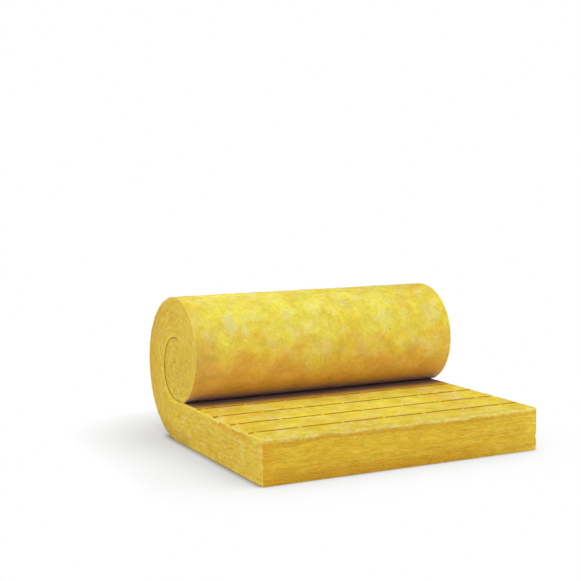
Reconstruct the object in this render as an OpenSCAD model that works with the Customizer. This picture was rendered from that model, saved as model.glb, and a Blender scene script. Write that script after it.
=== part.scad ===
// Glass wool insulation roll, partly unrolled.
// One continuous mat: it lies flat at the front, bends up at the back, and winds over itself
// into a roll that rests on the flat part. The open seam between the turns shows on both ends.
// Millimetres, +Z up, +X along the roll's axis, the cut front edge towards -Y.
// The origin is on the floor, under the middle of the whole part.

/* [Mat] */
// Width of the mat, along the roll's axis
mat_width = 1200; // [300:10:1250]
// Thickness of the mat where it lies flat and around the outer turn
mat_thickness = 170; // [60:5:240]
// Length that lies flat, from the cut front edge to the axis of the bend
flat_length = 815; // [500:5:3000]
// Rounding of the cut front edge, along its top
edge_round = 12; // [2:1:30]

/* [Roll] */
// Inner radius of the bend, where the mat turns up at the back
bend_radius = 125; // [80:5:220]
// How far the round of the roll is pressed flat where it rests on the mat
roll_press = 16; // [2:1:40]
// Thickness of the innermost turn, squeezed in the core of the roll
core_thickness = 90; // [50:5:120]

/* [Seam] */
// Width of the open seam between one turn and the next
seam_width = 4; // [1:0.5:8]
// Angle through which the last half-turn of the seam runs on into the core
seam_last_angle = 140; // [60:5:180]

/* [Hidden] */
$fn = 180;

// The outer turn keeps the mat's thickness round the bend
outer_radius = bend_radius + mat_thickness;
roll_top = 2 * outer_radius;
// The front of the roll runs from its top down into the mat, by as much as it is pressed
front_radius = (roll_top - mat_thickness + roll_press) / 2;
front_centre_z = roll_top - front_radius;
// Each half-turn of the seam is tighter than the one before by half the squeezed thickness
seam_step = core_thickness / 2;
tightest_curl = 3 * seam_width;
seam_half_turns = floor((bend_radius - tightest_curl) / seam_step);
// The whole part, front to back
part_length = flat_length + outer_radius;

// The side of the bend axis on which a half-turn lies: odd half-turns are at the front
function seam_side(k) = k % 2 == 0 ? 1 : -1;
function seam_radius(k) = bend_radius - k * seam_step;
// Back half-turns share one centre and front half-turns another, as in a two-centre spiral
function seam_centre_z(k) = k % 2 == 0 ? outer_radius : outer_radius + seam_step;
// Every half-turn runs half way round, apart from the last
function seam_angle(k) = k < seam_half_turns ? 180 : seam_last_angle;

// Half of a disc, on the back side (+1) or the front side (-1) of the bend axis
module half_disc(radius, side) {
    intersection() {
        circle(r = radius);
        translate([side > 0 ? 0 : -radius, -radius])
            square([radius, 2 * radius]);
    }
}

// Flat stretch of the mat, with the top of its cut edge rounded
module flat_section() {
    difference() {
        square([flat_length, mat_thickness]);
        translate([0, mat_thickness - edge_round])
            difference() {
                square(edge_round);
                translate([edge_round, 0])
                    circle(r = edge_round);
            }
    }
}

// Outer turn and core as one outline, before the seam is opened
module roll_section() {
    translate([flat_length, outer_radius])
        half_disc(outer_radius, 1);
    translate([flat_length, front_centre_z])
        half_disc(front_radius, -1);
}

// One half-turn of the seam, as a thin arc that starts below on the back and above on the front
module seam_arc(k) {
    radius = seam_radius(k);
    side = seam_side(k);
    reach = 2 * radius;
    sweep = seam_angle(k);
    translate([flat_length, seam_centre_z(k)])
        intersection() {
            difference() {
                half_disc(radius, side);
                circle(r = radius - seam_width);
            }
            if (sweep < 180)
                rotate(side > 0 ? sweep - 180 : sweep)
                    translate([side > 0 ? 0 : -reach, -reach])
                        square([reach, 2 * reach]);
        }
}

// Seam: flat under the roll from where it rests on the mat, then round and into the core
module seam_section() {
    translate([flat_length - front_radius, mat_thickness])
        square([front_radius, seam_width]);
    for (k = [0 : seam_half_turns])
        seam_arc(k);
}

// Mat, seen from its end
module mat_section() {
    difference() {
        union() {
            flat_section();
            roll_section();
        }
        seam_section();
    }
}

module wool_mat() {
    color("goldenrod")
        translate([-mat_width / 2, -part_length / 2, 0])
            rotate([90, 0, 90])
                linear_extrude(height = mat_width)
                    mat_section();
}

wool_mat();
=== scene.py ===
import math

import bpy
import numpy as np
from mathutils import Matrix, Vector


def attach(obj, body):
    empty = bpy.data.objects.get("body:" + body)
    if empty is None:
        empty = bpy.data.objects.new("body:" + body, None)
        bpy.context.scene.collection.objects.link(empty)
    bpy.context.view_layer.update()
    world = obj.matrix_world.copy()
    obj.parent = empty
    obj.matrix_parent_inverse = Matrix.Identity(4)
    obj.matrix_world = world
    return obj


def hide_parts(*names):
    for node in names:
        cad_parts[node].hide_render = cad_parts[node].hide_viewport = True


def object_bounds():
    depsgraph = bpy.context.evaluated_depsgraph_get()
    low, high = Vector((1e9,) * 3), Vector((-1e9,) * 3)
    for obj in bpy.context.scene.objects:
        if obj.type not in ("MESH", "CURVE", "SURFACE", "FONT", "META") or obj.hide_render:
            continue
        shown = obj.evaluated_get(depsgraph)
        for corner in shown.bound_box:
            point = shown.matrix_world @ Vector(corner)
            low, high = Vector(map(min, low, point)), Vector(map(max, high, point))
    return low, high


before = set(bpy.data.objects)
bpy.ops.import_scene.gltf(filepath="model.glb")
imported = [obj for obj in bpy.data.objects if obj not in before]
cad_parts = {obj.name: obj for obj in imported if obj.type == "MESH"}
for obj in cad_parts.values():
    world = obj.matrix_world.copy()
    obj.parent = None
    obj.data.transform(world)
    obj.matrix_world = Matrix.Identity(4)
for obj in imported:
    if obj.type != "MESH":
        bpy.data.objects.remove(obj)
cadLow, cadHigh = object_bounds()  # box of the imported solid, before it is dressed
print("frame loaded:", sorted(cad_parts))

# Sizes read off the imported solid
matWidth = cadHigh.x - cadLow.x
half = matWidth / 2
frontY = cadLow.y
outerRadius = cadHigh.z / 2
axisY = cadHigh.y - outerRadius  # the bend turns about this line
flatLength = axisY - frontY


# Camera
cameraPlan = {
    "place": (-2.3855, -4.2405, 1.1218),
    "heading": 0.4751,  # radians, to the right of straight ahead
    "tilt": 0.1043,  # radians, downwards
    "lean": -0.0024,  # radians, about the line of sight
    "lens": 74.22,
    "sensor": 36,
    "seesTo": 100,
}


def placeCamera():
    heading, tilt, lean = (cameraPlan[k] for k in ("heading", "tilt", "lean"))
    ahead = Vector((
        math.sin(heading) * math.cos(tilt),
        math.cos(heading) * math.cos(tilt),
        -math.sin(tilt),
    ))
    level = Vector((math.cos(heading), -math.sin(heading), 0))
    above = level.cross(ahead)
    right = math.cos(lean) * level + math.sin(lean) * above
    up = right.cross(ahead)
    bpy.ops.object.camera_add()
    camera = bpy.context.object
    turned = Matrix((right, up, -ahead)).transposed().to_4x4()
    camera.matrix_world = Matrix.Translation(cameraPlan["place"]) @ turned
    camera.data.lens = cameraPlan["lens"]
    camera.data.sensor_width = cameraPlan["sensor"]
    camera.data.clip_end = cameraPlan["seesTo"]
    bpy.context.scene.camera = camera


placeCamera()
print("camera placed")


# Shader nodes, each as one call, in the material or sky that was begun last
begun = {}


def beginNodes(owner):
    owner.use_nodes = True
    owner.node_tree.nodes.clear()
    begun["tree"] = owner.node_tree
    return owner


# An input is a number, a colour or another node's output
def addNode(kind, inputs=None, output=0, **settings):
    tree = begun["tree"]
    made = tree.nodes.new("ShaderNode" + kind)
    for name, value in settings.items():
        setattr(made, name, value)
    for socket, value in (inputs or {}).items():
        if isinstance(value, bpy.types.NodeSocket):
            tree.links.new(value, made.inputs[socket])
        else:
            made.inputs[socket].default_value = value
    return made.outputs if output is None else made.outputs[output]


def calc(operation, *values):
    return addNode("Math", dict(enumerate(values)), operation=operation)


def calcVector(operation, *values):
    return addNode("VectorMath", dict(enumerate(values)), operation=operation)


def times(product, *others):
    for other in others:
        product = calc("MULTIPLY", product, other)
    return product


def fade(value, low, high, start=0.0, end=1.0):
    limits = {"Value": value, "From Min": low, "From Max": high, "To Min": start, "To Max": end}
    return addNode("MapRange", limits, interpolation_type="SMOOTHSTEP")


# 1 on a stretch that fades in over one pair of places and out over another
def stretch(value, fadesIn, fadesOut):
    return times(fade(value, *fadesIn), fade(value, *fadesOut))


def clouds(vector, scale, detail=2.0, roughness=0.5, output=0):
    settings = {"Vector": vector, "Scale": scale, "Detail": detail, "Roughness": roughness}
    return addNode("TexNoise", settings, output)


def tint(amount, first, second):
    return addNode("Mix", {0: amount, 6: first, 7: second}, output=2, data_type="RGBA")


def pick(amount, first, second):
    return addNode("Mix", {0: amount, 2: first, 3: second}, data_type="FLOAT")


def splitVector(vector):
    return addNode("SeparateXYZ", {0: vector}, output=None)


def endNodes(shader, kind="Material"):
    addNode("Output" + kind, {"Surface": shader}, output=None)


# How the mat winds: each half-turn lies between an outer and an inner arc
# The underside of the flat stretch becomes the outside of the roll
windPlan = {
    "thickness": 0.170,
    "bendRadius": 0.125,
    "rollPress": 0.016,  # how far the roll is pressed flat on the mat
    "coreThickness": 0.090,
    "nipSeam": 0.0006,  # width of the seam where the roll comes down to the mat
    "openSeam": 0.0034,  # and where it leaves the mat, below the axis
    "upperSeam": 0.0009,
    "closedSeam": 0.0001,
    "seamOpens": (0.87, 1.0),  # shares of a half-turn over which the seam changes its width
    "seamNarrows": (0.10, 0.75),
    "seamCloses": (0.10, 0.60),
    "restLong": 0.14,  # the roll lies on the mat over this length
    "coreLift": 0.007,  # how far the seam stands above a round one, at its top
    "liftStops": 0.015,  # inside the outer turn, by this much
    "slip": (-0.002, 0.008),  # how far the inner turns stand out, at the left end and at the right
    "foldRadius": 0.0006,
    "noseTurn": math.radians(75),
}
thickness = windPlan["thickness"]


def planTurns():
    bend, seam, step = windPlan["bendRadius"], windPlan["openSeam"], windPlan["coreThickness"] / 2
    frontRadius = (cadHigh.z - thickness + windPlan["rollPress"]) / 2
    upperZ = outerRadius + step
    foldZ = outerRadius + bend - 2 * step - windPlan["foldRadius"]
    turns = [
        {"side": 1, "outer": (outerRadius, outerRadius), "inner": (bend, outerRadius)},
        {"side": -1, "outer": (frontRadius, cadHigh.z - frontRadius), "inner": (bend - step, upperZ)},
        {"side": 1, "outer": (bend, outerRadius), "inner": (bend - 2 * step, outerRadius)},
        {"side": -1, "outer": (bend - step, upperZ), "inner": (windPlan["foldRadius"], foldZ)},
    ]
    start = flatLength
    for turn in turns:
        turn["start"] = start
        turn["end"] = start = start + math.pi * turn["outer"][0]
    # The front half-turn lies this far above the mat, and no lower
    turns[1]["rest"] = (windPlan["nipSeam"], seam, windPlan["seamOpens"])
    # Further in, the seam has these widths, and narrows over a share of the half-turn
    turns[2]["gap"] = (seam, windPlan["upperSeam"], windPlan["seamNarrows"])
    turns[3]["gap"] = (windPlan["upperSeam"], windPlan["closedSeam"], windPlan["seamCloses"])
    return turns


turns = planTurns()
noseLow = turns[3]["outer"][1] - turns[3]["outer"][0] + windPlan["closedSeam"]
noseHigh = turns[3]["inner"][1] - windPlan["foldRadius"]
noseRadius = (noseHigh - noseLow) / 2
matLength = turns[3]["end"] + noseRadius
nipAlong = turns[1]["end"] - windPlan["restLong"]  # from here on the roll lies on the mat


def smooth(low, high, value):
    share = np.clip((value - low) / (high - low), 0, 1)
    return share * share * (3 - 2 * share)


def hump(value, centre, spread):
    return np.exp(-(((value - centre) / spread) ** 2))


# Takes points of the flat mat (across, along, up) to their places in the part
def windUp(flat):
    across, along, up = flat.T
    slip = np.interp(across, (-half, half), windPlan["slip"])
    slip *= smooth(turns[1]["start"], turns[1]["end"], along)
    placed = np.column_stack((across + slip, frontY + along, up))
    for turn in turns:
        here = (along > turn["start"]) & (along <= turn["end"])
        share = (along[here] - turn["start"]) / (turn["end"] - turn["start"])
        swing, drop = turn["side"] * np.sin(math.pi * share), -turn["side"] * np.cos(math.pi * share)
        (outerR, outerZ), (innerR, innerZ) = turn["outer"], turn["inner"]
        if "gap" in turn:
            wide, tight, narrows = turn["gap"]
            outerR = outerR - wide + (wide - tight) * smooth(*narrows, share)
        outer = np.column_stack((axisY + swing * outerR, outerZ + drop * outerR))
        inner = np.column_stack((axisY + swing * innerR, innerZ + drop * innerR))
        if "rest" in turn:
            tight, wide, opens = turn["rest"]
            lowest = thickness + tight + (wide - tight) * smooth(*opens, share)
            outer[:, 1] = np.maximum(outer[:, 1], lowest)
        deep = np.linalg.norm(inner - outer, axis=1)
        depth = np.where(up[here] < 0, up[here] / deep, up[here] / thickness)
        placed[here, 1:] = outer + (inner - outer) * depth[:, None]
    nose = along > turns[3]["end"]
    share = np.clip((along[nose] - turns[3]["end"]) / noseRadius, 0, 1) * windPlan["noseTurn"]
    placed[nose, 1] = axisY + noseRadius * np.sin(share)
    placed[nose, 2] = noseLow + noseRadius * (1 + np.cos(share) * (2 * up[nose] / thickness - 1))
    above = placed[:, 2] - outerRadius
    fromAxis = np.hypot(placed[:, 1] - axisY, above)
    inside = smooth(outerRadius - windPlan["liftStops"], windPlan["bendRadius"], fromAxis)
    lift = inside * smooth(0, windPlan["bendRadius"], above)
    placed[:, 2] += windPlan["coreLift"] * lift
    return placed


# Cutting lines across the face of the mat
linePlan = {
    "first": 0.1225,  # from the cut front edge
    "pitch": 0.1565,
    "count": 4,
    "width": 0.006,
    "flank": 0.0044,
    "depth": 0.0015,
    "slack": 0.0001,
    "soft": 0.0015,
    "gapAt": 0.030,  # first gap between dashes, from the left end
    "dashPitch": 0.1805,
    "gap": 0.010,
}
lineHalf = linePlan["width"] / 2 + linePlan["flank"]
lineRows = [linePlan["first"] + i * linePlan["pitch"] for i in range(linePlan["count"])]
lastLine = lineRows[-1] + linePlan["pitch"] / 2

# The mat itself, modelled flat and then wound up
matPlan = {
    "cellsAcross": (10, 12),  # cuts are made in two passes
    "cellsDeep": 34,
    "lipLong": 0.030,  # the stretch behind the cut front, with the finest cells
    "cellLip": 0.006,
    "cellAlong": 0.012,
    "cellTurn": 0.0135,
    "edgeRound": 0.004,
    "edgeCuts": 3,
    "sharp": math.radians(60),  # edges sharper than this are rounded
    "onSkin": 0.001,  # points this close to a surface belong to it
    "onCut": 0.0005,
    "fill": 1.0,
}


def readField(group, field, kind=int, wide=1):
    values = np.zeros(len(group) * wide, kind)
    group.foreach_get(field, values)
    return values


def meshPoints(piece):
    return readField(piece.data.vertices, "co", float, 3).reshape(-1, 3)


def setPoints(piece, points):
    piece.data.vertices.foreach_set("co", points.astype(np.float32).ravel())
    piece.data.update()


def editing(on):
    bpy.ops.object.mode_set(mode="EDIT" if on else "OBJECT")


def choose(piece):
    bpy.ops.object.select_all(action="DESELECT")
    piece.select_set(True)
    bpy.context.view_layer.objects.active = piece


# Selects the edges that run along one direction, between two places on it, and cuts them
def divideEdges(piece, direction, cells, low=-math.inf, high=math.inf):
    points = meshPoints(piece)
    ends = readField(piece.data.edges, "vertices", wide=2)
    first, second = points[ends[0::2]], points[ends[1::2]]
    runs = np.abs(first - second).argmax(1) == direction
    middle = (first + second)[:, direction] / 2
    editing(True)
    bpy.ops.mesh.select_mode(type="EDGE")
    bpy.ops.mesh.select_all(action="DESELECT")
    editing(False)
    piece.data.edges.foreach_set("select", runs & (middle > low) & (middle < high))
    editing(True)
    bpy.ops.mesh.subdivide(number_cuts=cells - 1)
    editing(False)


# Stretches of the mat from front to nose, each with the length of its cells
def planStretches():
    places = [(matPlan["lipLong"], matPlan["cellLip"])]
    for row in lineRows:
        for offset in (-lineHalf, -linePlan["width"] / 2, linePlan["width"] / 2, lineHalf):
            places.append((row + offset, matPlan["cellAlong"]))
    places.append((flatLength, matPlan["cellAlong"]))
    places += [(turn["end"], matPlan["cellTurn"]) for turn in turns]
    places.append((matLength, matPlan["cellTurn"]))
    starts = [0.0] + [end for end, cell in places]
    return [(start, end, cell) for start, (end, cell) in zip(starts, places)]


def modelFlatMat():
    bpy.ops.object.select_all(action="DESELECT")
    upright, middle = (math.pi / 2, 0, 0), (0, 0, thickness / 2)
    bpy.ops.mesh.primitive_plane_add(size=1, rotation=upright, location=middle)
    mat = bpy.context.object
    mat.name = mat.data.name = "woolMat"
    mat.scale = (matWidth, thickness, 1)
    bpy.ops.object.transform_apply(location=True, rotation=True, scale=True)
    stretches = planStretches()
    editing(True)
    for start, end, cell in stretches:
        bpy.ops.mesh.extrude_region_move(TRANSFORM_OT_translate={"value": (0, end - start, 0)})
    editing(False)
    for start, end, cell in stretches:
        cells = math.ceil((end - start) / cell)
        if cells > 1:
            divideEdges(mat, 1, cells, start, end)
    for cells in matPlan["cellsAcross"]:
        divideEdges(mat, 0, cells)
    divideEdges(mat, 2, matPlan["cellsDeep"])
    editing(True)
    bpy.ops.mesh.select_all(action="SELECT")
    bpy.ops.mesh.normals_make_consistent(inside=False)
    bpy.ops.mesh.select_all(action="DESELECT")
    bpy.ops.mesh.edges_select_sharp(sharpness=matPlan["sharp"])
    bpy.ops.mesh.bevel(offset=matPlan["edgeRound"], segments=matPlan["edgeCuts"], affect="EDGES")
    editing(False)
    return mat


def keepNumbers(piece, name, kind, values):
    attribute = piece.data.attributes.new(name, kind, "POINT")
    field = "vector" if kind == "FLOAT_VECTOR" else "value"
    attribute.data.foreach_set(field, values.astype(np.float32).ravel())


woolMat = modelFlatMat()
flatPoints = meshPoints(woolMat)
print("flat mat:", len(flatPoints), "points", round(matLength, 3), "m long")

across, along, up = flatPoints.T
edge = matPlan["edgeRound"]
onEnds = smooth(half - edge, half, np.abs(across))
onFront = smooth(edge, 0, along)
keepNumbers(woolMat, "matPlace", "FLOAT_VECTOR", flatPoints)
keepNumbers(woolMat, "cutFace", "FLOAT", np.maximum(onEnds, onFront))


# Pushes the surface in and out by a soft noise, where the weight says
# The grain is the size of the noise each way, and the weight is set in steps
def roughen(piece, label, weight, direction, grain, height, steps=20):
    group = piece.vertex_groups.new(name=label)
    levels = np.round(weight * steps).astype(int)
    for level in range(1, steps + 1):
        group.add(np.flatnonzero(levels == level).tolist(), level / steps, "REPLACE")
    bpy.ops.object.empty_add()
    ruler = bpy.context.object
    ruler.scale = grain
    texture = bpy.data.textures.new(label, "CLOUDS")
    texture.noise_scale = 1
    texture.noise_depth = 2
    choose(piece)
    push = piece.modifiers.new(label, "DISPLACE")
    push.texture = texture
    push.texture_coords = "OBJECT"
    push.texture_coords_object = ruler
    push.vertex_group = label
    push.direction = direction
    push.strength = height
    bpy.ops.object.modifier_apply(modifier=push.name)
    bpy.data.objects.remove(ruler)
    bpy.data.textures.remove(texture)


roughPlan = {
    "skinLumps": ((0.16, 0.16, 0.16), 0.0018),
    "skinGrain": ((0.035, 0.035, 0.035), 0.0012),
    "faceShare": 0.4,  # the face is smoother than the outside
    "endLayers": ((0.5, 0.22, 0.012), 0.006),
    "frontLayers": ((0.22, 0.5, 0.012), 0.008),
    "outsideSoft": 0.1,  # lengths over which the roughness fades out
    "faceSoft": 0.05,
}


def roughenMat():
    soft = roughPlan["outsideSoft"]
    onRoll = smooth(flatLength, flatLength + soft, along) * smooth(nipAlong, nipAlong - soft, along)
    outside = (up < matPlan["onSkin"]) * onRoll
    onFlat = smooth(lastLine, lastLine - roughPlan["faceSoft"], along)
    face = (up > thickness - matPlan["onSkin"]) * onFlat
    skins = np.maximum(outside, roughPlan["faceShare"] * face)
    ends = (np.abs(across) > half - matPlan["onCut"]) * 1.0
    front = (along < matPlan["onCut"]) * 1.0
    roughen(woolMat, "skinLumps", skins, "NORMAL", *roughPlan["skinLumps"])
    roughen(woolMat, "skinGrain", skins, "NORMAL", *roughPlan["skinGrain"])
    roughen(woolMat, "endLayers", ends, "X", *roughPlan["endLayers"])
    roughen(woolMat, "frontLayers", front, "Y", *roughPlan["frontLayers"])


def pressLines():
    points = meshPoints(woolMat)
    fromGap = (across + half - linePlan["gapAt"]) / linePlan["dashPitch"]
    inDash = np.abs(fromGap - np.round(fromGap)) * linePlan["dashPitch"] > linePlan["gap"] / 2
    pressed = inDash & (up > thickness - matPlan["onSkin"])
    for row in lineRows:
        onLine = np.abs(along - row) < linePlan["width"] / 2 + linePlan["slack"]
        points[onLine & pressed, 2] -= linePlan["depth"]
    setPoints(woolMat, points)


# Ragged edges: a lip of loose wool over the cut front, which towards the right end is cut clean
lipPlan = {
    "round": 0.009,  # rounding of the cut front, along its top
    "low": 0.015,  # lower edge of the lip, below the top
    "corner": (-0.36, -0.50, 0.011),  # it hangs lower towards the left front corner
    "sway": (0.16, 0.003),  # length and height of its long waves
    "nibble": (0.035, 0.002),
    "strength": (0.25, 0.7, 0.4),  # length, middle and swing of its strength
    "weakest": 0.2,
    "fades": (-0.05, 0.45),
    "reach": 0.024,  # back from the front
    "soft": (-0.003, 0.007),  # below and above its lower edge
    "hang": 0.0022,  # how far it stands out
    "hangWaves": (0.03, 0.5),
    "crease": 0.0014,  # how far the wool below it is drawn in
    "creaseHigh": 0.006,
    "creaseBelow": 0.007,
    "sag": (0.0025, 0.026, 0.13),  # how far the top rounds down to it, over which length, and its waves
    "sagStops": 0.08,  # short of the ends
    "sagDeep": 0.040,
}
# Tufts along both sides of the flat stretch, and notches up and down the right front corner
tuftPlan = {
    "waves": ((0.09, 0.7), (0.035, 0.6)),  # length and share
    "apart": 3,  # the two sides take waves from places this far apart
    "out": 0.0020,
    "deep": 0.016,
    "wide": 0.014,
    "back": (0.05, 0.30),  # they fade out before the bend, and at the front
    "front": (0, 0.04),
    "notch": 0.0025,
    "notchLong": 0.045,
    "notchReach": 0.03,
}
# The left top edge droops
droopPlan = {
    "most": 0.0022,
    "wide": 0.022,
    "waves": 0.10,
    "deep": 0.040,
    "back": (0.15, 0.35),
    "front": (0.02, 0.06),
}
# Around the bend the inner edge of the mat is rounded off, where the seam opens at each end
rimPlan = {
    "round": 0.013,
    "wide": 0.03,
    "starts": 0.10,  # before the bend
    "ends": (0.08, 0.38),  # before the top of the roll
}


# Soft irregular wave, about -1 to 1, whose bumps are about this long
def ripple(place, length, seed, spread=(0.6, 1.8), waves=6, evens=2.4):
    draw = np.random.default_rng(seed)
    total = np.zeros_like(place)
    for size in length * draw.uniform(*spread, waves):
        total += np.sin(2 * math.pi * (place / size + draw.uniform()))
    return total / evens


# Draws the square corner at the top of the cut front onto a round one
def roundFront(points):
    size = lipPlan["round"]
    forward, high = np.clip(1 - along / size, 0, 1), np.clip(1 - (thickness - up) / size, 0, 1)
    points[:, 1] += size * forward * (1 - np.sqrt(1 - high**2 / 2))
    points[:, 2] -= size * high * (1 - np.sqrt(1 - forward**2 / 2))


def hangLip(points):
    (swayLong, sway), (nibbleLong, nibble) = lipPlan["sway"], lipPlan["nibble"]
    rightOf, leftOf, hangsLower = lipPlan["corner"]
    lipLow = thickness - lipPlan["low"] - hangsLower * smooth(rightOf, leftOf, across)
    lipLow += sway * ripple(across, swayLong, 1) + nibble * ripple(across, nibbleLong, 2)
    tornLong, torn, swing = lipPlan["strength"]
    strong = np.clip(torn + swing * ripple(across, tornLong, 3), lipPlan["weakest"], 1)
    frayed, clean = lipPlan["fades"]
    nearFront = smooth(lipPlan["reach"], 0, along) * strong * smooth(clean, frayed, across)
    starts, full = lipPlan["soft"]
    lip = nearFront * smooth(lipLow + starts, lipLow + full, up)
    crease = nearFront * hump(up, lipLow - lipPlan["creaseBelow"], lipPlan["creaseHigh"])
    hangLong, hangSwing = lipPlan["hangWaves"]
    hang = lipPlan["hang"] * (1 + hangSwing * ripple(across, hangLong, 4))
    points[:, 1] += lipPlan["crease"] * crease - hang * lip
    sag, sagLong, sagWave = lipPlan["sag"]
    sagged = sag * (1 + ripple(across, sagWave, 8)) * smooth(sagLong, 0, along)
    sagged *= smooth(half, half - lipPlan["sagStops"], np.abs(across))
    points[:, 2] -= sagged * smooth(thickness - lipPlan["sagDeep"], thickness, up)


# Where tufts or a droop show along the flat stretch, from the front to the bend
def alongSide(plan):
    off, full = plan["back"]
    return smooth(flatLength - off, flatLength - full, along) * smooth(*plan["front"], along)


def tuftSides(points):
    bySide = along + tuftPlan["apart"] * (across > 0)
    (longWave, longShare), (shortWave, shortShare) = tuftPlan["waves"]
    wave = longShare * ripple(bySide, longWave, 5) + shortShare * ripple(bySide, shortWave, 6)
    rim = smooth(half - tuftPlan["wide"], half, np.abs(across)) * hump(up, thickness, tuftPlan["deep"])
    points[:, 0] += np.sign(across) * tuftPlan["out"] * wave * rim * alongSide(tuftPlan)
    notch = tuftPlan["notch"] * ripple(up, tuftPlan["notchLong"], 7)
    notch *= smooth(tuftPlan["notchReach"], 0, along)
    points[:, 0] += notch * smooth(half - tuftPlan["wide"], half, across)


def droopLeft(points):
    drooped = droopPlan["most"] * (1 + ripple(along, droopPlan["waves"], 9)) * alongSide(droopPlan)
    drooped *= smooth(droopPlan["wide"] - half, -half, across)
    points[:, 2] -= drooped * smooth(thickness - droopPlan["deep"], thickness, up)


def roundRim(points):
    top = turns[1]["start"]
    off, full = rimPlan["ends"]
    bend = smooth(flatLength - rimPlan["starts"], flatLength, along) * smooth(top - off, top - full, along)
    inner = np.clip((up - thickness) / rimPlan["round"] + 1, 0, 1)
    pulled = rimPlan["round"] * (1 - np.sqrt(1 - inner**2)) * bend
    points[:, 0] -= np.sign(across) * pulled * smooth(half - rimPlan["wide"], half, np.abs(across))


def ragEdges():
    points = meshPoints(woolMat)
    for shape in (roundFront, hangLip, tuftSides, droopLeft, roundRim):
        shape(points)
    setPoints(woolMat, points)


# Charts of the flat mat side by side, for the map that its finish is baked through
def layOutMap():
    polygons, loops = woolMat.data.polygons, woolMat.data.loops
    normals = readField(polygons, "normal", float, 3).reshape(-1, 3)
    sizes = readField(polygons, "loop_total")
    facing = np.repeat(np.abs(normals).argmax(1), sizes)
    forward = np.repeat(normals.sum(1) > 0, sizes)
    x, s, t = flatPoints[readField(loops, "vertex_index")].T
    apart = 0.02
    wide, deep = matWidth + apart, thickness + apart
    u = np.where(facing == 0, 2 * wide + deep * forward + t, half + x + wide * forward)
    v = np.where(facing == 1, t, deep + s)
    chart = np.column_stack((u, v)) / (matLength + deep)
    layer = woolMat.data.uv_layers.new(name="OFBake")
    layer.uv.foreach_set("vector", chart.astype(np.float32).ravel())


layOutMap()
roughenMat()
pressLines()
ragEdges()
print("mat roughened")


# Loose fibres: thin tapered strands that start on the mat's surface and lie along it
fibrePlan = {
    "skin": {"seed": 11, "count": 9000, "long": (0.016, 0.045), "thick": 0.0008, "lift": 0.05, "turn": 0.9},
    "ends": {"seed": 12, "count": 8000, "long": (0.012, 0.038), "thick": 0.0008, "lift": 0.08, "turn": 0.3},
    "front": {"seed": 13, "count": 3500, "long": (0.012, 0.04), "thick": 0.0008, "lift": 0.08, "turn": 0.3},
    "lip": {"seed": 14, "count": 1600, "long": (0.010, 0.022), "thick": 0.0009, "lift": 0.18, "turn": 1.0},
    "proud": 0.004,  # how far they may stand out
    "rise": (0.2, 1),  # shares of the lift, from the lowest strand to the highest
    "midRise": 0.7,
    "bow": 0.12,
    "girths": (0.5, 0.4),  # at the root and half way
    "overFloor": 0.0004,
    "cornerOrder": (1.0, 3.7, 11.3),  # a face starts at the corner that is lowest by these weights
    "placeStep": 0.0007,
    "mapEdge": 0.02,
}
# Where they start
rootPlan = {
    "onSkin": 0.002,  # faces this close to a surface bear its fibres
    "onCut": 0.0015,
    "faceShare": 0.7,  # the face bears fewer than the outside
    "offLines": 0.012,
    "offBend": 0.05,
    "offNip": 0.03,
    "offShade": 0.09,
    "offFront": 0.03,
    "offEnds": 0.045,
    "offFloor": (0.004, 0.006),  # on the ends and on the front
    "lip": (0.020, 0.030),  # how far back and how far down the lip's fibres start
    "lipFades": (0.6, 0.3),
}


# Four-sided faces of the mat, each as two triangles
# They are put in order of place, because the order of faces and corners can change from run to run
def readSurface():
    polygons, loops = woolMat.data.polygons, woolMat.data.loops
    starts = readField(polygons, "loop_start")[readField(polygons, "loop_total") == 4]
    quads = readField(loops, "vertex_index")[starts[:, None] + np.arange(4)]
    first = (flatPoints[quads] @ fibrePlan["cornerOrder"]).argmin(1)
    quads = np.take_along_axis(quads, (first[:, None] + np.arange(4)) % 4, 1)
    quads = quads[np.lexsort(np.round(flatPoints[quads].mean(1) / fibrePlan["placeStep"]).T)]
    corners = np.concatenate((quads[:, (0, 1, 2)], quads[:, (0, 2, 3)]))
    places = meshPoints(woolMat)[corners]
    normals = np.cross(places[:, 1] - places[:, 0], places[:, 2] - places[:, 0])
    areas = np.linalg.norm(normals, axis=1)
    return places, normals / areas[:, None], areas, flatPoints[corners].mean(1)


def growFibres(surface, weight, ahead, plan):
    places, normals, areas = surface[:3]
    draw = np.random.default_rng(plan["seed"])
    count = plan["count"]
    chance = areas * weight
    chosen = draw.choice(len(areas), count, p=chance / chance.sum())
    shares = draw.dirichlet((1, 1, 1), count)
    root = (places[chosen] * shares[:, :, None]).sum(1)
    out = normals[chosen]
    beside = np.cross(out, ahead)
    beside /= np.linalg.norm(beside, axis=1)[:, None]
    forward = np.cross(beside, out)
    angle = (draw.normal(0, plan["turn"], count) + math.pi * draw.integers(0, 2, count))[:, None]
    run = forward * np.cos(angle) + beside * np.sin(angle)
    side = np.cross(out, run)
    reach = draw.uniform(*plan["long"], count)[:, None]
    rise = plan["lift"] * reach * draw.uniform(*fibrePlan["rise"], (count, 1))
    bow = side * reach * draw.normal(0, fibrePlan["bow"], (count, 1))
    middle = root + run * reach / 2 + out * rise * fibrePlan["midRise"] + bow
    tip = root + run * reach + out * rise
    rings = []
    for centre, girth in zip((root - out * plan["thick"], middle), fibrePlan["girths"]):
        for turn in (0, 2 * math.pi / 3, 4 * math.pi / 3):
            rings.append(centre + girth * plan["thick"] * (side * math.cos(turn) + out * math.sin(turn)))
    points = np.stack(rings + [tip], 1).reshape(-1, 3)
    proud = fibrePlan["proud"]
    low, high = (-half - proud, -2 * proud, -proud), (half + proud, matLength, thickness + proud)
    return np.clip(points, low, high), np.repeat(draw.uniform(0, 1, count), len(strandMap))


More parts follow.
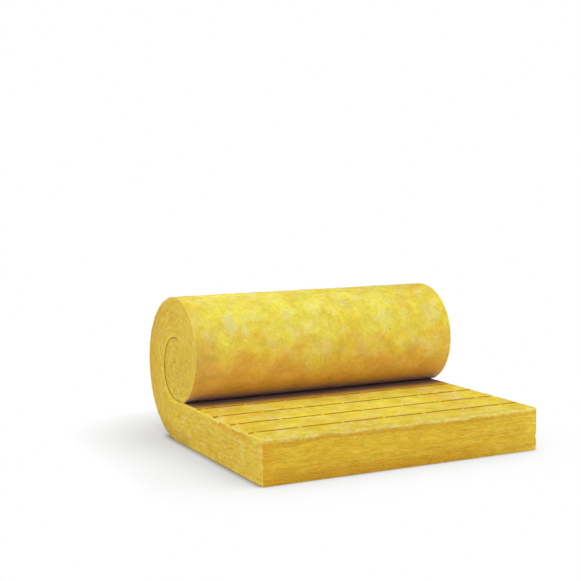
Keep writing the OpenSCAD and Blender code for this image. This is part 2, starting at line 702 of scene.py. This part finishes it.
# A strand: three points round its root, three half way, and its tip
strandFaces = [
    (2, 1, 0),
    (0, 1, 4), (0, 4, 3), (1, 2, 5), (1, 5, 4), (2, 0, 3), (2, 3, 5),
    (3, 4, 6), (4, 5, 6), (5, 3, 6),
]
strandMap = [  # across the strand and up it, for each of its points
    (-0.01, 0.02), (0.01, 0.02), (0.0, 0.03),
    (-0.01, 0.5), (0.01, 0.5), (0.0, 0.52),
    (0.0, 0.98),
]


def buildFibres(name, parts):
    points = np.concatenate([part[0] for part in parts])
    tones = np.concatenate([part[1] for part in parts])
    points = windUp(points)
    points[:, 2] = np.maximum(points[:, 2], fibrePlan["overFloor"])  # none goes through the floor
    count = len(points) // len(strandMap)
    faces = (np.arange(count)[:, None, None] * len(strandMap) + np.array(strandFaces)).reshape(-1, 3)
    mesh = bpy.data.meshes.new(name)
    mesh.from_pydata(points.tolist(), [], faces.tolist())
    piece = bpy.data.objects.new(name, mesh)
    bpy.context.collection.objects.link(piece)
    keepNumbers(piece, "tone", "FLOAT", tones)
    keepNumbers(piece, "reach", "FLOAT", np.tile([place[1] for place in strandMap], count))
    chart = np.tile(strandMap, (count, 1))
    chart[:, 0] += fibrePlan["mapEdge"] + (1 - 2 * fibrePlan["mapEdge"]) * tones
    layer = mesh.uv_layers.new(name="OFBake")
    layer.uv.foreach_set("vector", chart[faces.ravel()].astype(np.float32).ravel())
    choose(piece)
    bpy.ops.object.shade_smooth()
    return piece


def growAll():
    surface = readSurface()
    x, s, t = surface[3].T
    onSkin, onCut = rootPlan["onSkin"], rootPlan["onCut"]
    offLines = np.min([np.abs(s - row) for row in lineRows], axis=0) > rootPlan["offLines"]
    outside = (t < onSkin) & (s > flatLength + rootPlan["offBend"]) & (s < nipAlong - rootPlan["offNip"])
    face = (t > thickness - onSkin) & (s < lastLine - rootPlan["offShade"]) & offLines
    endFloor, frontFloor = rootPlan["offFloor"]
    ends = (np.abs(x) > half - onCut) & (t > endFloor)
    ends &= (s > rootPlan["offFront"]) & (s < turns[3]["end"])
    inside = np.abs(x) < half - rootPlan["offEnds"]
    front = (s < onCut) & (t > frontFloor) & inside
    lipBack, lipDown = rootPlan["lip"]
    lip = (s < lipBack) & (t > thickness - lipDown) & inside
    skins = 1.0 * outside + rootPlan["faceShare"] * face
    skinPart = growFibres(surface, skins, (0, 1, 0), fibrePlan["skin"])
    endPart = growFibres(surface, ends * 1.0, (0, 1, 0), fibrePlan["ends"])
    frontPart = growFibres(surface, front * 1.0, (1, 0, 0), fibrePlan["front"])
    lipWeight = lip * smooth(*rootPlan["lipFades"], x)
    lipPart = growFibres(surface, lipWeight, (1, 0.01, 0.01), fibrePlan["lip"])
    return [
        buildFibres("skinFibres", [skinPart]),
        buildFibres("endFibres", [endPart]),
        buildFibres("frontFibres", [frontPart, lipPart]),
    ]


fibres = growAll()
setPoints(woolMat, windUp(meshPoints(woolMat)))
choose(woolMat)
bpy.ops.object.shade_smooth()
print("mat wound up, with fibres:", [len(piece.data.polygons) for piece in fibres])


# Finish of the wool: each kind of surface has its own yellows
woolPlan = {
    "outside": {
        "lemon": (0.99, 0.88, 0.118, 1),
        "golden": (0.98, 0.78, 0.085, 1),
        "ochre": (0.89, 0.59, 0.062, 1),
        "pale": (0.97, 0.89, 0.43, 1),
    },
    "face": {
        "lemon": (0.94, 0.77, 0.080, 1),
        "golden": (0.90, 0.67, 0.064, 1),
        "ochre": (0.83, 0.54, 0.050, 1),
        "pale": (0.94, 0.84, 0.34, 1),
    },
    "ends": {
        "golden": (0.89, 0.64, 0.088, 1),
        "ochre": (0.82, 0.53, 0.058, 1),
        "pale": (0.92, 0.77, 0.24, 1),
    },
    "front": {
        "golden": (0.94, 0.64, 0.055, 1),
        "ochre": (0.86, 0.51, 0.036, 1),
        "pale": (0.95, 0.74, 0.12, 1),
    },
    "topDulled": (0.87, 0.845, 0.80),  # how much duller the top of the roll is towards the right
    "nipShades": (  # painted shade where the roll comes down to the mat: how far along, and its colours there
        {"outside": (1.97, 2.225), "outsideShade": (0.93, 0.52, 0.105, 1),
         "face": (0.575, 0.635), "faceShade": (0.56, 0.26, 0.055, 1), "most": 0.95},
        {"outside": (2.245, 2.36), "outsideShade": (0.50, 0.36, 0.56, 1),
         "face": (0.61, 0.68), "faceShade": (0.20, 0.145, 0.14, 1), "most": 0.95},
    ),
    "line": (0.40, 0.175, 0.004, 1),
    # pale fuzz of the frayed lip, partly painted highlight on its rounded edge, brightest towards the right
    "lip": (0.96, 0.87, 0.44, 1),
    "brightLip": (1.0, 0.90, 0.34, 1),
    "leftStrip": (0.72, 0.41, 0.085, 1),  # the outside by its left end, low on the roll
    "smear": (0.92, 0.70, 0.26, 1),
    # orange below the lip, partly painted shadow under it, and darker at the left front corner
    "crease": (0.83, 0.45, 0.034, 1),
    "cornerOrangeAndShade": (0.80, 0.43, 0.024, 1),
    # orange along the top of the ends, partly painted shade under the torn top layer
    "flap": (0.74, 0.37, 0.024, 1),
    # painted highlight along rounded edges and along the top of the ends
    "rim": (0.98, 0.80, 0.11, 1),
    # painted shade along the bottom of the front and by its left corner
    "frontLowShade": (0.74, 0.39, 0.030, 1),
    # painted shade on the ends, on the outer turn round the back of the roll
    "shadeBehind": (0.76, 0.47, 0.078, 1),
    "footShade": (0.64, 0.42, 0.076, 1),  # painted shade on the ends, low down where the mat turns up
    # painted highlight on the rounded rim at the seam, and painted shade on the core beside it
    "seamHighlight": (1.0, 0.82, 0.085, 1),
    "seamShade": (0.38, 0.20, 0.024, 1),
    "frontShadeOnFace": (0.92, 0.915, 0.92),  # painted shade: how much darker the face is towards the front
    "onFace": (0.4, 0.6),  # shares of the thickness: above is the face, below the outside
    "rimFades": (0, 0.25, 0, 0.6),
    "bump": (0.5, 0.003),  # strength, and height in metres
    "roughness": 0.95,
    "specular": 0.02,
    "sheen": 0.01,
    "sheenRough": 0.6,
}

# Felt of fine strands that cross: along, across and through the strand, in metres
feltPlan = {
    "ways": (0.45, 1.40, 2.45),
    "strand": (0.055, 0.006, 0.04),
    "rough": 0.55,
    "felt": (0.40, 0.60, 0.09),  # hollows and crests of a noise, and how much darker the painted shade in its hollows is
    "mottle": (0.35, 0.65, 0.06),
    "shades": (0.35, 0.65, 0.10),
    "layer": (0.160, 0.160, 0.0050),  # on a cut face
    "endLayers": (0.35, 0.62, 0.12),
    "frontLayers": (0.35, 0.62, 0.17),
    "speck": (0.018, 0.018, 0.0060),
    "specks": (0.35, 0.62, 0.11),
    "hollow": (0.8, 1.0, 1.7),  # shares of that for red, green and blue
    "crest": (0.2, 0.3, 0.6),
    "fuzz": (260, 4, 0.65),
}


# Noise drawn out into streaks: turned on the skin first, then sized along and across the streak
def streaked(place, turn, size, detail=3.0):
    settings = {"Vector": place, "Rotation": (0, 0, turn), "Scale": size}
    drawn = addNode("Mapping", settings, vector_type="TEXTURE")
    return clouds(drawn, 1, detail, feltPlan["rough"])


# Moves places about, so that what is drawn on them swirls
def swirled(place, scale, amount):
    drift = calcVector("SUBTRACT", clouds(place, scale, output=1), (0.5, 0.5, 0.5))
    moved = addNode("VectorMath", {0: drift, "Scale": amount}, operation="SCALE")
    return calcVector("ADD", moved, place)


# Moves a value up and down by a noise
def drifting(value, noise, amount):
    return calc("MULTIPLY_ADD", calc("SUBTRACT", noise, 0.5), amount, value)


# Painted shade in the hollows of a grain, darker and warmer, and painted light on its crests
def shaded(colour, grain, low, high, depth):
    dim = tuple(1 - share * depth for share in feltPlan["hollow"])
    lit = tuple(1 + share * depth for share in feltPlan["crest"])
    hollow, crest = (calcVector("MULTIPLY", colour, shares) for shares in (dim, lit))
    return tint(fade(grain, low, high), hollow, crest)


def feltGrain(place):
    total = 0.0
    for way in feltPlan["ways"]:
        total = calc("ADD", streaked(place, way, feltPlan["strand"], 2), total)
    return calc("DIVIDE", total, len(feltPlan["ways"]))


# Skin: noises by scale, detail and roughness, and fades from one value to another, with the share at each
skinPlan = {
    "swirl": (5, 0.10),
    "broad": (4, 2),
    "patches": (9, 3),
    "veil": (15, 2),
    "mottle": (45, 3, 0.6),
    "shades": (13, 2),
    "leaning": (4, 1),
    "leans": (0.46, 0.54),
    "smudgeWays": (1.1, 2.0),
    "smudge": (0.10, 0.055, 0.10),
    "lemonDrift": 0.75,
    "lemonDown": (1.96, 2.17),  # the outside is lemon up to here, on its way down the front of the roll; the change to golden below it is painted shade
    "lemonRight": (0.22, 0.50, 1, 0.2),
    "lemonLater": (0.30, 0.55, 0, 0.10),
    "lemonFace": (0.38, 0.60),
    "warm": (0.47, 0.68, 0, 0.75),
    "warmLemon": (0, 1, 1, 0.45),
    "leftDrift": -0.14,
    "leftShade": (-0.54, -0.67, 0, 0.50),
    "pale": (0.45, 0.72, 0, 0.38),
    "smudges": (0.52, 0.84),
    "smudged": (1.95, 2.08, 0.75, 0.45),
    "frontShadeFades": (0.40, 0.06),
    "top": ((1.45, 1.65), (1.90, 1.77)),
    "topRight": (-0.30, 0.35),
    "nipDrift": 0.25,
    "nipRight": (-0.30, 0.20, 0, 0.035),
    "low": ((1.94, 2.07), (2.26, 2.16)),  # low on the front of the roll
    "lowLeft": (-0.47, -0.585, 0, 0.65),
    "smears": (0.50, 0.72, 0, 0.20),
}


def mixDyes(amount, first, second):
    return {name: tint(amount, dye, woolPlan[second][name]) for name, dye in woolPlan[first].items()}


def skinColour(place, acrossAt, alongAt, onFace):
    plan = skinPlan
    dye = mixDyes(onFace, "outside", "face")
    swirl = swirled(place, *plan["swirl"])
    broad = clouds(place, *plan["broad"])
    patches = clouds(swirl, *plan["patches"])
    leaning = fade(clouds(place, *plan["leaning"]), *plan["leans"])
    oneWay, otherWay = (streaked(swirl, way, plan["smudge"], 1) for way in plan["smudgeWays"])
    smudges = pick(leaning, oneWay, otherWay)
    felt = feltGrain(swirl)
    # Down the front of the roll the outside turns from lemon to golden, which is painted shade
    drifted = drifting(alongAt, broad, plan["lemonDrift"])
    drifted = calc("SUBTRACT", drifted, fade(acrossAt, *plan["lemonLater"]))
    lemon = fade(drifted, *plan["lemonDown"], fade(acrossAt, *plan["lemonRight"]), 0)
    lemon = pick(onFace, lemon, fade(broad, *plan["lemonFace"]))
    skin = tint(lemon, dye["golden"], dye["lemon"])
    warm = times(fade(patches, *plan["warm"]), fade(lemon, *plan["warmLemon"]))
    # Ochre in patches, and painted shade on the outside by the roll's left end
    byLeft = calc("MULTIPLY_ADD", broad, plan["leftDrift"], acrossAt)
    warm = calc("MAXIMUM", warm, fade(byLeft, *plan["leftShade"]))
    skin = tint(warm, skin, dye["ochre"])
    veil = clouds(swirl, *plan["veil"])
    skin = tint(fade(veil, *plan["pale"]), skin, dye["pale"])
    smudged = pick(onFace, fade(alongAt, *plan["smudged"]), plan["smudged"][2])
    skin = tint(fade(smudges, *plan["smudges"], 0, smudged), skin, dye["pale"])
    # Painted shade on the face, darker towards the front
    byFront = times(onFace, fade(alongAt, *plan["frontShadeFades"]))
    skin = tint(byFront, skin, calcVector("MULTIPLY", skin, woolPlan["frontShadeOnFace"]))
    onTop = times(stretch(alongAt, *plan["top"]), fade(acrossAt, *plan["topRight"]))
    skin = tint(onTop, skin, calcVector("MULTIPLY", skin, woolPlan["topDulled"]))
    # Painted shade on the roll and on the mat where the roll comes down to the mat; on the roll its upper
    # edge runs in patches, a little lower towards the right
    patchy = drifting(alongAt, patches, plan["nipDrift"])
    patchy = calc("SUBTRACT", patchy, fade(acrossAt, *plan["nipRight"]))
    for nip, reached in zip(woolPlan["nipShades"], (patchy, alongAt)):
        onOutside = fade(reached, *nip["outside"], 0, nip["most"])
        byFace = fade(alongAt, *nip["face"], 0, nip["most"])
        nipShade = tint(onFace, nip["outsideShade"], nip["faceShade"])
        skin = tint(pick(onFace, onOutside, byFace), skin, nipShade)
    offFace = calc("SUBTRACT", 1.0, onFace)
    lowDown = times(stretch(alongAt, *plan["low"]), offFace)
    strip = times(lowDown, fade(acrossAt, *plan["lowLeft"]))
    skin = tint(strip, skin, woolPlan["leftStrip"])
    smears = times(lowDown, fade(smudges, *plan["smears"]))
    skin = tint(smears, skin, woolPlan["smear"])
    # Painted shade and light on the grain of the felt and of two soft noises
    skin = shaded(skin, felt, *feltPlan["felt"])
    for name in ("mottle", "shades"):
        skin = shaded(skin, clouds(swirl, *plan[name]), *feltPlan[name])
    return skin, felt


# Distance to the nearest of a row of places
def fromNearest(value, first, pitch):
    return calc("ABSOLUTE", calc("WRAP", calc("SUBTRACT", value, first), pitch / 2, -pitch / 2))


def lineMask(acrossAt, alongAt):
    soft, gap = linePlan["soft"], linePlan["gap"] / 2
    fromLine = fromNearest(alongAt, linePlan["first"], linePlan["pitch"])
    line = fade(fromLine, lineHalf + soft, lineHalf - soft)
    fromGap = fromNearest(acrossAt, linePlan["gapAt"] - half, linePlan["dashPitch"])
    dash = fade(fromGap, gap - soft, gap + soft)
    return times(line, dash, calc("LESS_THAN", alongAt, lastLine))


# Cut faces: thin layers that follow the mat, wavy, among short specks and soft pale smudges
cutPlan = {
    "front": (0.004, 0),
    "swirl": 9,
    "waves": (flatLength, flatLength + 0.25, 0.030, 0.012),  # the layers wave less round the roll
    "layers": (1, 3, 0.6),
    "specks": (1, 2, 0.6),
    "smudge": (20, 20, 52),
    "broad": (7, 2),
    "ochre": (0.42, 0.68, 0, 0.50),
    "dark": (0.48, 0.28, 0, 0.55),
    "pale": (0.48, 0.72, 0, 0.70),
    "low": (0.090, 0, 0, 0.95),
    "lowRight": (0.1, 0.6, 1, 0.2),
    "paleRight": (0.1, 0.6, 0, 0.22),
    "corner": (-0.52, -0.60, 0, 0.7),
    "shadeBehind": (
        (turns[0]["start"] + 0.10, turns[0]["start"] + 0.35),
        (turns[0]["end"], turns[0]["end"] - 0.25),
    ),
    "behindDeep": (thickness, 0, 0, 0.58),
    "footShade": ((0.62, 0.70), (1.05, 0.93)),
    "footHigh": (0.070, 0.015, 0, 0.75),
}


def cutColour(place, acrossAt, alongAt, upAt):
    plan = cutPlan
    onFront = fade(alongAt, *plan["front"])
    dye = mixDyes(onFront, "ends", "front")
    bent = swirled(place, plan["swirl"], fade(alongAt, *plan["waves"]))
    layers = clouds(calcVector("DIVIDE", bent, feltPlan["layer"]), *plan["layers"])
    specks = clouds(calcVector("DIVIDE", bent, feltPlan["speck"]), *plan["specks"])
    smudges = clouds(calcVector("MULTIPLY", bent, plan["smudge"]), 1)
    broad = clouds(place, *plan["broad"])
    wool = tint(fade(broad, *plan["ochre"]), dye["golden"], dye["ochre"])
    wool = tint(fade(smudges, *plan["dark"]), wool, dye["ochre"])
    wool = tint(fade(smudges, *plan["pale"]), wool, dye["pale"])
    # Painted shade along the bottom of the front, weaker towards the right, and by its left corner
    lowDown = times(onFront, fade(upAt, *plan["low"]), fade(acrossAt, *plan["lowRight"]))
    paler = times(onFront, fade(acrossAt, *plan["paleRight"]))
    wool = tint(paler, wool, dye["pale"])
    byCorner = times(onFront, fade(acrossAt, *plan["corner"]))
    wool = tint(calc("MAXIMUM", lowDown, byCorner), wool, woolPlan["frontLowShade"])
    # Painted shade on the ends, on the outer turn round the back of the roll
    shadeBehind = times(stretch(alongAt, *plan["shadeBehind"]), fade(upAt, *plan["behindDeep"]))
    wool = tint(shadeBehind, wool, woolPlan["shadeBehind"])
    # Painted shade on the ends, low down where the mat turns up
    turnsUp = times(stretch(alongAt, *plan["footShade"]), fade(upAt, *plan["footHigh"]))
    wool = tint(turnsUp, wool, woolPlan["footShade"])
    # Painted shade and light on the layers and specks of the cut faces
    onEnds = shaded(wool, layers, *feltPlan["endLayers"])
    atFront = shaded(wool, layers, *feltPlan["frontLayers"])
    wool = shaded(tint(onFront, onEnds, atFront), specks, *feltPlan["specks"])
    return wool, layers


# Torn edges, by depth below the top of the mat: each band of colour fades out between two depths
tearPlan = {
    "ragged": (40, 4, 0.65),
    "blotches": ((24, 3, 0.6), (0.39, 0.57)),
    "flecks": ((60, 3, 0.6), (0.32, 0.52)),
    "spots": ((11, 2), (0.50, 0.62)),
    "toRight": (-0.20, 0.10),
    "byFront": (0.070, 0.030),
    "onFront": (0.012, 0.004),
    "strong": (0.22, 0.48, 1, 0.40),
    "corner": (-0.545, -0.595),  # the left front corner is torn deepest
    "frontFray": 0.020,  # how raggedly the bands run
    "topShare": (0.70, 2.0),  # on the top the bands are this much closer to the edge, left and right
    "lower": 0.004,  # towards the right
    "spread": (1.0, 0.75),
    "orange": (0.013, 0.004, 0, 0.88),  # above and below the lower edge of the lip
    "flecked": (0, 1, 0.45, 1),
    "blotched": (-0.10, 0.10, 1, 0.25),
    "pale": (0.0145, 0.0075),
    "paleLeft": 0.40,
    "paleRight": (0.20, 0.45, 0.95, 0.65),
    "paleBlotches": (0, 1, 0.3, 1),
    "sides": ((0, 0.03), (flatLength, flatLength - 0.10)),
    "sideFray": 0.026,
    "spotsEnd": (0.50, 0.35),
    "flap": ((0.10, 0.16), (0.31, 0.24)),  # the left side is torn open here, along the mat
    "sideOrange": (0.040, 0.012, 0, 0.9),
    "yellow": (0.012, 0.006, 0, 0.85),
    "bend": (
        (flatLength - 0.10, flatLength + 0.05),
        (turns[1]["start"], turns[1]["start"] - 0.15),
    ),
    "seamStrip": (0.022, 0.012),
    "seamRagged": (-0.15, 0.05, 0.25, 0.95),
    "seamWide": (0.012, 0.060),  # on the core, up from its outer side: below and above, and at the back
    "seamShade": (1, 0.2, 0, 0.9),
    "seamEnds": (0.06, -0.02),
}


# The skin frays to pale blotches along the cut front, partly painted highlight on its rounded edge, with
# orange wool below them that is partly painted shadow under the lip
def tornFront(colour, grain, below, acrossAt, alongAt, cut):
    plan = tearPlan
    toRight = fade(acrossAt, *plan["toRight"])
    inward = calc("MULTIPLY_ADD", alongAt, pick(toRight, *plan["topShare"]), below)
    fromFront = calc("MULTIPLY_ADD", grain["ragged"], plan["frontFray"], inward)
    rightOf, leftOf, hangsLower = lipPlan["corner"]
    lipLow = fade(acrossAt, rightOf, leftOf, lipPlan["low"], lipPlan["low"] + hangsLower)
    lipLow = calc("MULTIPLY_ADD", toRight, plan["lower"], lipLow)
    fromLip = calc("ABSOLUTE", calc("SUBTRACT", fromFront, lipLow))
    fromLip = times(fromLip, pick(toRight, *plan["spread"]))
    corner = fade(acrossAt, *plan["corner"])
    strong = times(fade(alongAt, *plan["onFront"]), fade(acrossAt, *plan["strong"]))
    flecked = calc("MAXIMUM", fade(grain["flecks"], *plan["flecked"]), corner)
    blotched = fade(grain["blotches"], 0, 1, fade(acrossAt, *plan["blotched"]), 1)
    orange = times(fade(fromLip, *plan["orange"]), strong, flecked, blotched, cut)
    colour = tint(orange, colour, tint(corner, woolPlan["crease"], woolPlan["cornerOrangeAndShade"]))
    pale = times(fade(fromFront, *plan["pale"]), fade(alongAt, *plan["byFront"]))
    most = pick(toRight, plan["paleLeft"], fade(acrossAt, *plan["paleRight"]))
    pale = times(pale, most, fade(grain["blotches"], *plan["paleBlotches"]))
    return tint(pale, colour, tint(toRight, woolPlan["lip"], woolPlan["brightLip"]))


# Along the top of the ends it frays in spots, and where the left side is torn open: a yellow band and pale
# blotches along the edge are painted highlight, and the orange below is partly painted shade under the torn
# top layer
def tornSides(colour, grain, below, alongAt, cut):
    plan = tearPlan
    side = times(cut, stretch(alongAt, *plan["sides"]))
    fromSide = calc("MULTIPLY_ADD", grain["ragged"], plan["sideFray"], below)
    spots = times(grain["spots"], fade(alongAt, *plan["spotsEnd"]))
    spots = calc("MAXIMUM", spots, stretch(alongAt, *plan["flap"]))
    orange = times(fade(fromSide, *plan["sideOrange"]), spots, grain["flecks"], side)
    colour = tint(orange, colour, woolPlan["flap"])
    yellow = times(fade(fromSide, *plan["yellow"]), side)
    edging = tint(times(spots, grain["blotches"]), woolPlan["rim"], woolPlan["lip"])
    return tint(yellow, colour, edging)


# Along the seam there is a painted highlight on the rim round the bend, and painted shade on the core
def seamEdges(colour, grain, below, alongAt, upAt, cut):
    plan = tearPlan
    strip = times(fade(below, *plan["seamStrip"]), stretch(alongAt, *plan["bend"]), cut)
    strip = times(strip, fade(grain["ragged"], *plan["seamRagged"]))
    colour = tint(strip, colour, woolPlan["seamHighlight"])
    middle = (turns[2]["start"] + turns[2]["end"]) / 2
    halfTurn = (turns[2]["end"] - turns[2]["start"]) / 2
    fromBack = calc("ABSOLUTE", calc("SUBTRACT", alongAt, middle))
    wide = fade(fromBack, halfTurn, 0, *plan["seamWide"])
    shade = fade(calc("DIVIDE", upAt, wide), *plan["seamShade"])
    off, full = plan["seamEnds"]
    shade = times(shade, fade(fromBack, halfTurn + off, halfTurn + full), cut)
    return tint(shade, colour, woolPlan["seamShade"])


def tornEdges(colour, place, acrossAt, alongAt, upAt, cut):
    below = calc("SUBTRACT", thickness, upAt)
    grain = {"ragged": calc("SUBTRACT", clouds(place, *tearPlan["ragged"]), 0.5)}
    for name in ("blotches", "flecks", "spots"):
        noise, limits = tearPlan[name]
        grain[name] = fade(clouds(place, *noise), *limits)
    colour = tornFront(colour, grain, below, acrossAt, alongAt, cut)
    colour = tornSides(colour, grain, below, alongAt, cut)
    return seamEdges(colour, grain, below, alongAt, upAt, cut)


def woolMaterial():
    material = beginNodes(bpy.data.materials.new("glassWool"))
    place = addNode("Attribute", attribute_name="matPlace", output=1)
    cut = addNode("Attribute", attribute_name="cutFace", output=2)
    acrossAt, alongAt, upAt = splitVector(place)
    onFace = fade(upAt, *(thickness * share for share in woolPlan["onFace"]))
    skin, felt = skinColour(place, acrossAt, alongAt, onFace)
    line = times(onFace, lineMask(acrossAt, alongAt))
    skin = tint(line, skin, woolPlan["line"])
    wool, layers = cutColour(place, acrossAt, alongAt, upAt)
    colour = tint(cut, skin, wool)
    # Painted highlight along the rounded edges where the cut faces meet the skins
    rim = times(cut, calc("SUBTRACT", 1.0, cut))
    colour = tint(fade(rim, *woolPlan["rimFades"]), colour, woolPlan["rim"])
    colour = tornEdges(colour, place, acrossAt, alongAt, upAt, cut)
    fuzz = clouds(place, *feltPlan["fuzz"])
    relief = calc("ADD", pick(cut, felt, layers), fuzz)
    strength, height = woolPlan["bump"]
    bump = addNode("Bump", {"Height": relief, "Strength": strength, "Distance": height})
    shader = addNode("BsdfPrincipled", {
        "Base Color": colour,
        "Normal": bump,
        "Roughness": woolPlan["roughness"],
        "Specular IOR Level": woolPlan["specular"],
        "Sheen Weight": woolPlan["sheen"],
        "Sheen Roughness": woolPlan["sheenRough"],
        "Sheen Tint": woolPlan["lip"],
    })
    endNodes(shader)
    return material


# Strands run from ochre to lemon, and are lightest at the tip
strandPlan = {
    "golden": (0, 0.5),
    "lemon": (0.5, 1),
    "tip": (0.3, 1, 0, 0.5),
    "roughness": 0.7,
    "specular": 0.3,
}


def fibreMaterial():
    material = beginNodes(bpy.data.materials.new("looseFibre"))
    tone = addNode("Attribute", attribute_name="tone", output=2)
    reach = addNode("Attribute", attribute_name="reach", output=2)
    dye = woolPlan["outside"]
    colour = tint(fade(tone, *strandPlan["golden"]), dye["ochre"], dye["golden"])
    colour = tint(fade(tone, *strandPlan["lemon"]), colour, dye["lemon"])
    colour = tint(fade(reach, *strandPlan["tip"]), colour, dye["lemon"])
    shader = addNode("BsdfPrincipled", {
        "Base Color": colour,
        "Roughness": strandPlan["roughness"],
        "Specular IOR Level": strandPlan["specular"],
        "Sheen Weight": woolPlan["sheen"],
    })
    endNodes(shader)
    return material


woolMat.data.materials.append(woolMaterial())
fibreFinish = fibreMaterial()
for piece in fibres:
    piece.data.materials.append(fibreFinish)
    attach(piece, "root")
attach(woolMat, "root")
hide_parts("wool_mat")
print("wool finished")


# Floor and light
stagePlan = {
    "floorSize": 60,
    "floorBounce": (0.92, 0.92, 0.92, 1),  # what the floor gives back to the object
    "floorWhite": (1.0, 1.0, 1.0, 1),
    "shades": (  # wide soft shadow, and the dark line where the object touches the floor
        {"reach": 0.40, "colour": (0.40, 0.382, 0.325, 1)},
        {"reach": 0.030, "colour": (0.22, 0.13, 0.01, 1)},
    ),
    "shadeLean": (0.35, -0.45, 1.0),  # the way the floor looks for what shades it
    "skyLow": 0.45,
    "skyHigh": 1.20,
    "skyRise": (0.0, 0.85),  # heights between which the sky brightens
}


# 1 for what the camera sees, straight or by reflection, and 0 for light on its way
def seenRays():
    path = addNode("LightPath", output=None)
    seen = calc("MAXIMUM", path["Is Camera Ray"], path["Is Glossy Ray"])
    return calc("MAXIMUM", seen, path["Is Transmission Ray"])


def buildFloor():
    bpy.ops.mesh.primitive_plane_add(size=stagePlan["floorSize"])
    floor = bpy.context.object
    floor.name = "floor"
    material = beginNodes(bpy.data.materials.new("paleFloor"))
    bounce = addNode("BsdfDiffuse", {"Color": stagePlan["floorBounce"]})
    lean = calcVector("NORMALIZE", stagePlan["shadeLean"])
    colour = stagePlan["floorWhite"][:3]
    for shade in stagePlan["shades"]:
        openness = addNode("AmbientOcclusion", {"Distance": shade["reach"], "Normal": lean}, output=1)
        dimmed = tint(openness, shade["colour"], stagePlan["floorWhite"])
        colour = calcVector("MULTIPLY", dimmed, colour)
    bright = addNode("Emission", {"Color": colour})
    both = addNode("MixShader", {0: seenRays(), 1: bounce, 2: bright})
    endNodes(both)
    floor.data.materials.append(material)


def buildSky():
    bpy.context.scene.world = beginNodes(bpy.data.worlds.new("studio"))
    height = splitVector(addNode("TexCoord", output="Generated"))[2]
    level = fade(height, *stagePlan["skyRise"], stagePlan["skyLow"], stagePlan["skyHigh"])
    soft = addNode("Background", {"Color": (1, 1, 1, 1), "Strength": level})
    white = addNode("Background", {"Color": (1, 1, 1, 1), "Strength": 1.0})
    both = addNode("MixShader", {0: seenRays(), 1: soft, 2: white})
    endNodes(both, "World")


buildFloor()
buildSky()
bpy.context.scene.view_settings.view_transform = "Standard"
print("floor and light set")
